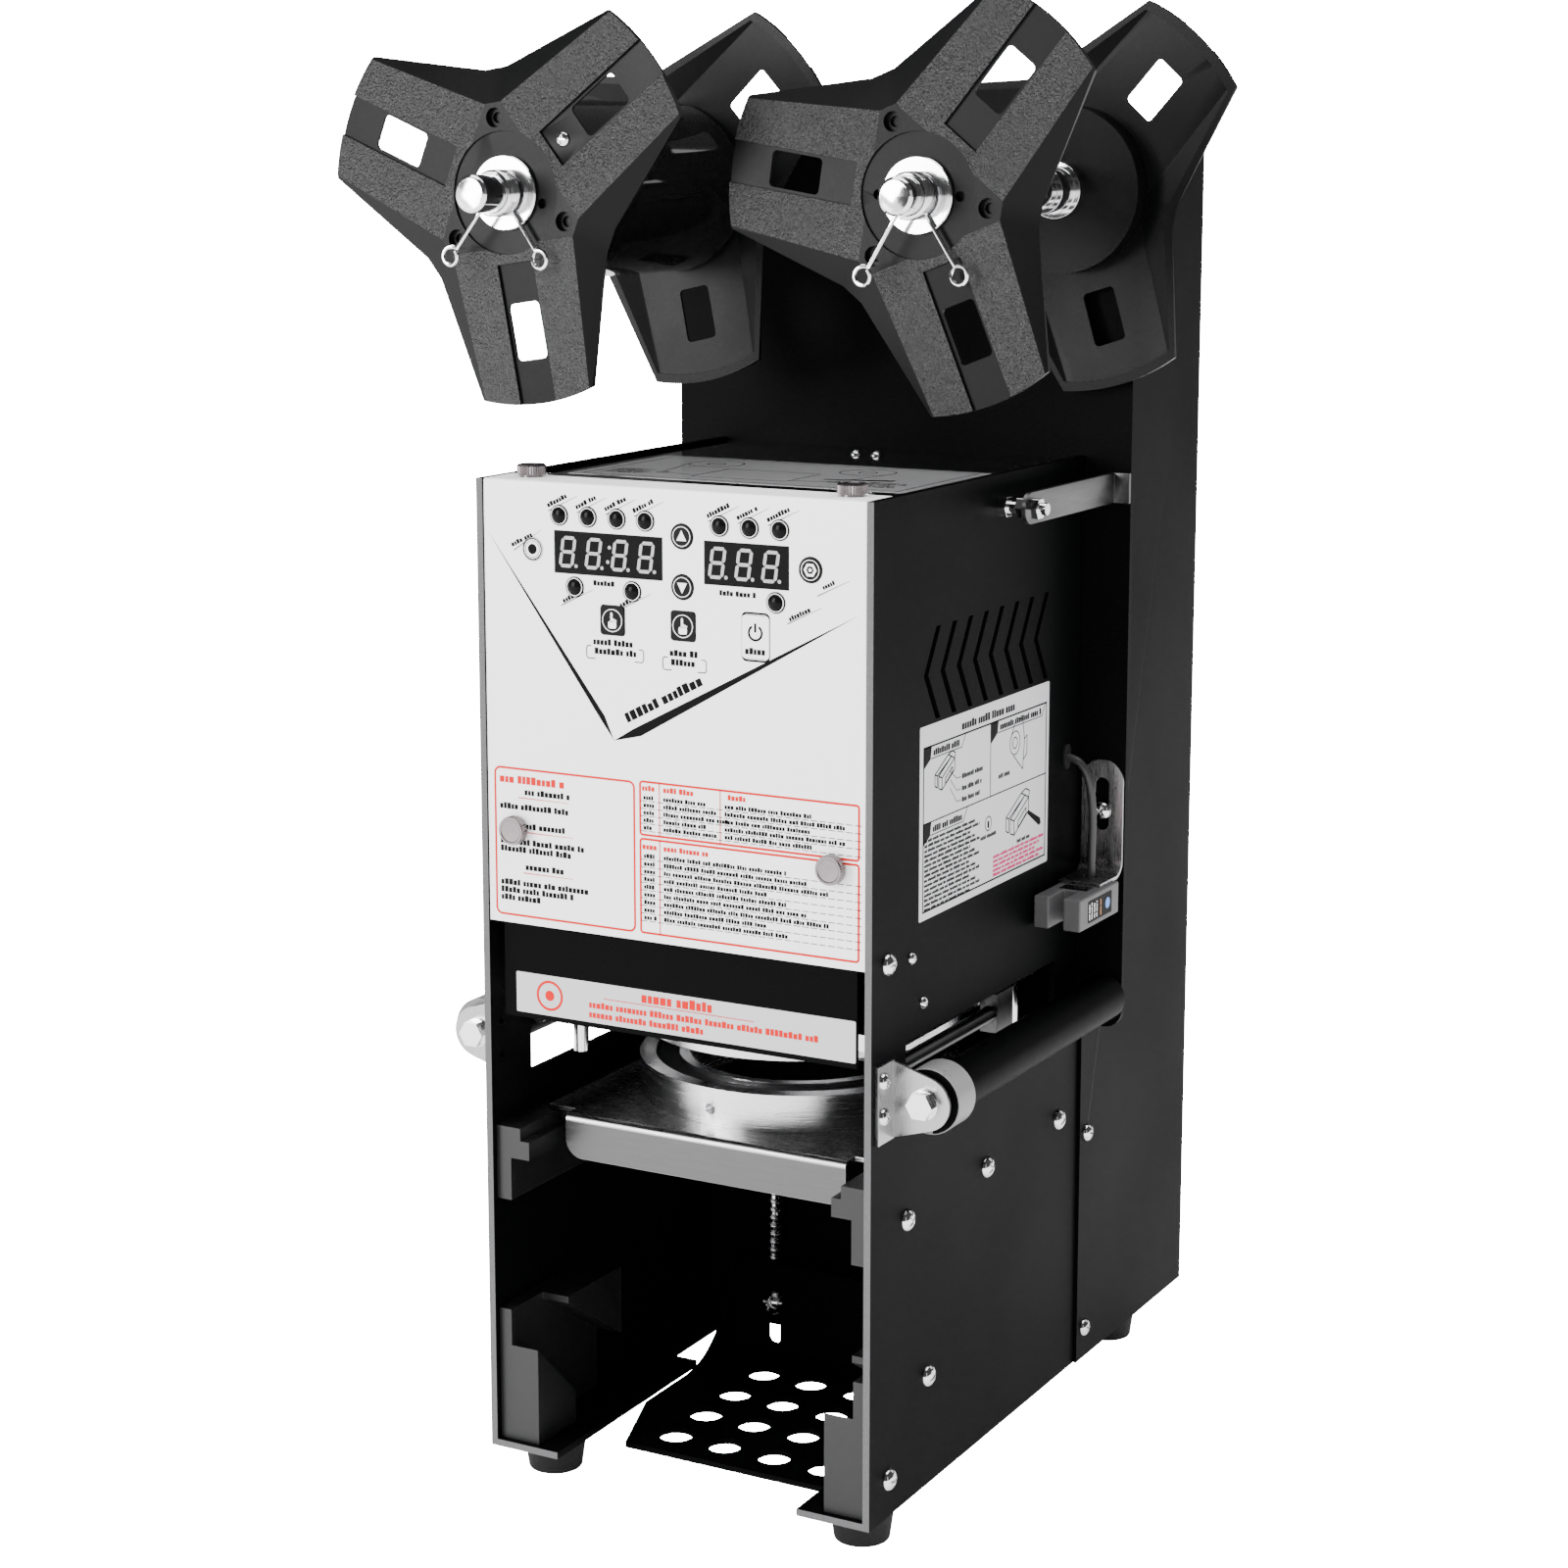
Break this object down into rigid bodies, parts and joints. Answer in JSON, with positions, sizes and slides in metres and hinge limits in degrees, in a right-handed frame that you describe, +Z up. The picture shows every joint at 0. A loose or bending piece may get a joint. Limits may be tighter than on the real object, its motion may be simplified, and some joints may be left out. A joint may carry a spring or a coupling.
{
  "type": "cup sealing machine",
  "caption": "Countertop cup sealing machine with sliding cup tray, heated sealing head, film spools and rollers, control panel and open cup bay on rubber feet.",
  "frame": {"origin": "middle of the whole machine's footprint, on the surface that it stands on", "axes": "+Z up, +Y towards the back of the machine, +X to the right seen from the front"},
  "size_m": [0.327, 0.3416, 0.6196],
  "materials": {
    "black_paint": "fine textured satin black powder coat",
    "gloss_black": "glossy black lid",
    "white_paint": "white printed sheet",
    "display_black": "smoked display face",
    "black_plastic": "moulded black",
    "button_plastic": "membrane key",
    "circuit_board": "green board",
    "stainless": "brushed stainless",
    "turned_aluminium": "turned",
    "chrome_steel": "bright",
    "bronze": "sintered",
    "motor_metal": "grey",
    "rubber": "matt",
    "grey_plastic": "grey"
  },
  "bodies": {
    "root": {"power_inlet": "black_plastic", "rubber_feet": "rubber", "control_board": "circuit_board", "panel_displays": "display_black", "panel_thumb_screws": "chrome_steel", "control_panel": "white_paint", "door_hinge_pin": "chrome_steel", "lift_rods": "chrome_steel", "inner_rear_wall": "black_paint", "head_deck": "black_paint", "inner_brackets": "black_paint", "head_motor": "motor_metal", "micro_switches": "black_plastic", "film_guide_rods": "stainless", "strap_brackets": "stainless", "sensor_body": "grey_plastic", "sensor_cable": "rubber", "cable_grommet": "rubber", "bronze_bushings": "bronze", "takeup_motor": "motor_metal", "power_supply": "motor_metal", "case_screws": "chrome_steel", "right_side_panel": "black_paint", "left_side_panel": "black_paint", "top_cover": "gloss_black", "tray_rails": "black_plastic", "lower_guides": "black_plastic", "roller_brackets": "stainless", "sensor_bracket": "stainless", "back_plate": "black_paint", "column_cover": "black_paint"},
    "safety_door": {"safety_door": "black_paint"},
    "tray": {"tray_plate": "stainless", "cup_ring": "turned_aluminium", "ring_gasket": "rubber", "tray_runners": "black_plastic"},
    "cup_platform": {"cup_platform": "black_paint"},
    "seal_head": {"head_plate": "stainless", "seal_disc": "stainless", "heater_plate": "stainless", "guide_posts": "chrome_steel"},
    "head_crank": {"head_crank": "motor_metal"},
    "left_roller": {"left_roller": "black_plastic"},
    "right_roller": {"right_roller": "black_plastic"},
    "takeup_spool": {"takeup_shaft": "chrome_steel", "takeup_front_flange": "black_plastic", "takeup_rear_flange": "black_plastic", "takeup_core": "black_plastic", "takeup_spring_clip": "chrome_steel"},
    "supply_spool": {"supply_shaft": "chrome_steel", "supply_front_flange": "black_plastic", "supply_rear_flange": "black_plastic", "supply_spring_clip": "chrome_steel"},
    "count_reset_button": {"count_reset_button": "button_plastic"},
    "up_button": {"up_button": "button_plastic"},
    "down_button": {"down_button": "button_plastic"},
    "set_button": {"set_button": "button_plastic"},
    "mode_button": {"mode_button": "button_plastic"},
    "reseal_button": {"reseal_button": "button_plastic"},
    "power_button": {"power_button": "button_plastic"}
  },
  "joints": [
    {"name": "safety_door_swing", "type": "hinge", "parent": "root", "child": "safety_door", "pos_m": [0.00551, -0.15375, 0.256], "axis": [1, 0, 0], "range_deg": [0, 12]},
    {"name": "tray_slide", "type": "slide", "parent": "root", "child": "tray", "axis": [0, -1, 0], "range_m": [0, 0.155]},
    {"name": "cup_platform_raise", "type": "slide", "parent": "root", "child": "cup_platform", "axis": [0, 0, 1], "range_m": [0, 0.008]},
    {"name": "seal_head_press", "type": "slide", "parent": "root", "child": "seal_head", "axis": [0, 0, -1], "range_m": [0, 0.01414]},
    {"name": "head_crank_turn", "type": "hinge", "parent": "root", "child": "head_crank", "pos_m": [0.00551, -0.04275, 0.272], "axis": [0, 1, 0], "range_deg": [0, 90.5]},
    {"name": "left_roller_spin", "type": "hinge", "parent": "root", "child": "left_roller", "pos_m": [-0.09949, -0.06075, 0.19], "axis": [0, 1, 0], "continuous": true},
    {"name": "right_roller_spin", "type": "hinge", "parent": "root", "child": "right_roller", "pos_m": [0.11051, -0.06075, 0.19], "axis": [0, 1, 0], "continuous": true},
    {"name": "takeup_spool_spin", "type": "hinge", "parent": "root", "child": "takeup_spool", "pos_m": [-0.07849, -0.06075, 0.54], "axis": [0, 1, 0], "continuous": true},
    {"name": "supply_spool_spin", "type": "hinge", "parent": "root", "child": "supply_spool", "pos_m": [0.08951, -0.06075, 0.54], "axis": [0, 1, 0], "continuous": true},
    {"name": "count_reset_press", "type": "slide", "parent": "root", "child": "count_reset_button", "axis": [0, 1, 0], "range_m": [0, 0.0005], "stiffness_N_per_m": 900},
    {"name": "up_press", "type": "slide", "parent": "root", "child": "up_button", "axis": [0, 1, 0], "range_m": [0, 0.0005], "stiffness_N_per_m": 900},
    {"name": "down_press", "type": "slide", "parent": "root", "child": "down_button", "axis": [0, 1, 0], "range_m": [0, 0.0005], "stiffness_N_per_m": 900},
    {"name": "set_press", "type": "slide", "parent": "root", "child": "set_button", "axis": [0, 1, 0], "range_m": [0, 0.0005], "stiffness_N_per_m": 900},
    {"name": "mode_press", "type": "slide", "parent": "root", "child": "mode_button", "axis": [0, 1, 0], "range_m": [0, 0.0005], "stiffness_N_per_m": 900},
    {"name": "reseal_press", "type": "slide", "parent": "root", "child": "reseal_button", "axis": [0, 1, 0], "range_m": [0, 0.0005], "stiffness_N_per_m": 900},
    {"name": "power_press", "type": "slide", "parent": "root", "child": "power_button", "axis": [0, 1, 0], "range_m": [0, 0.0005], "stiffness_N_per_m": 900}
  ],
  "couplings": [
    {"joint": "head_crank_turn", "follows": "seal_head_press", "rad_per_m": 111.07}
  ]
}
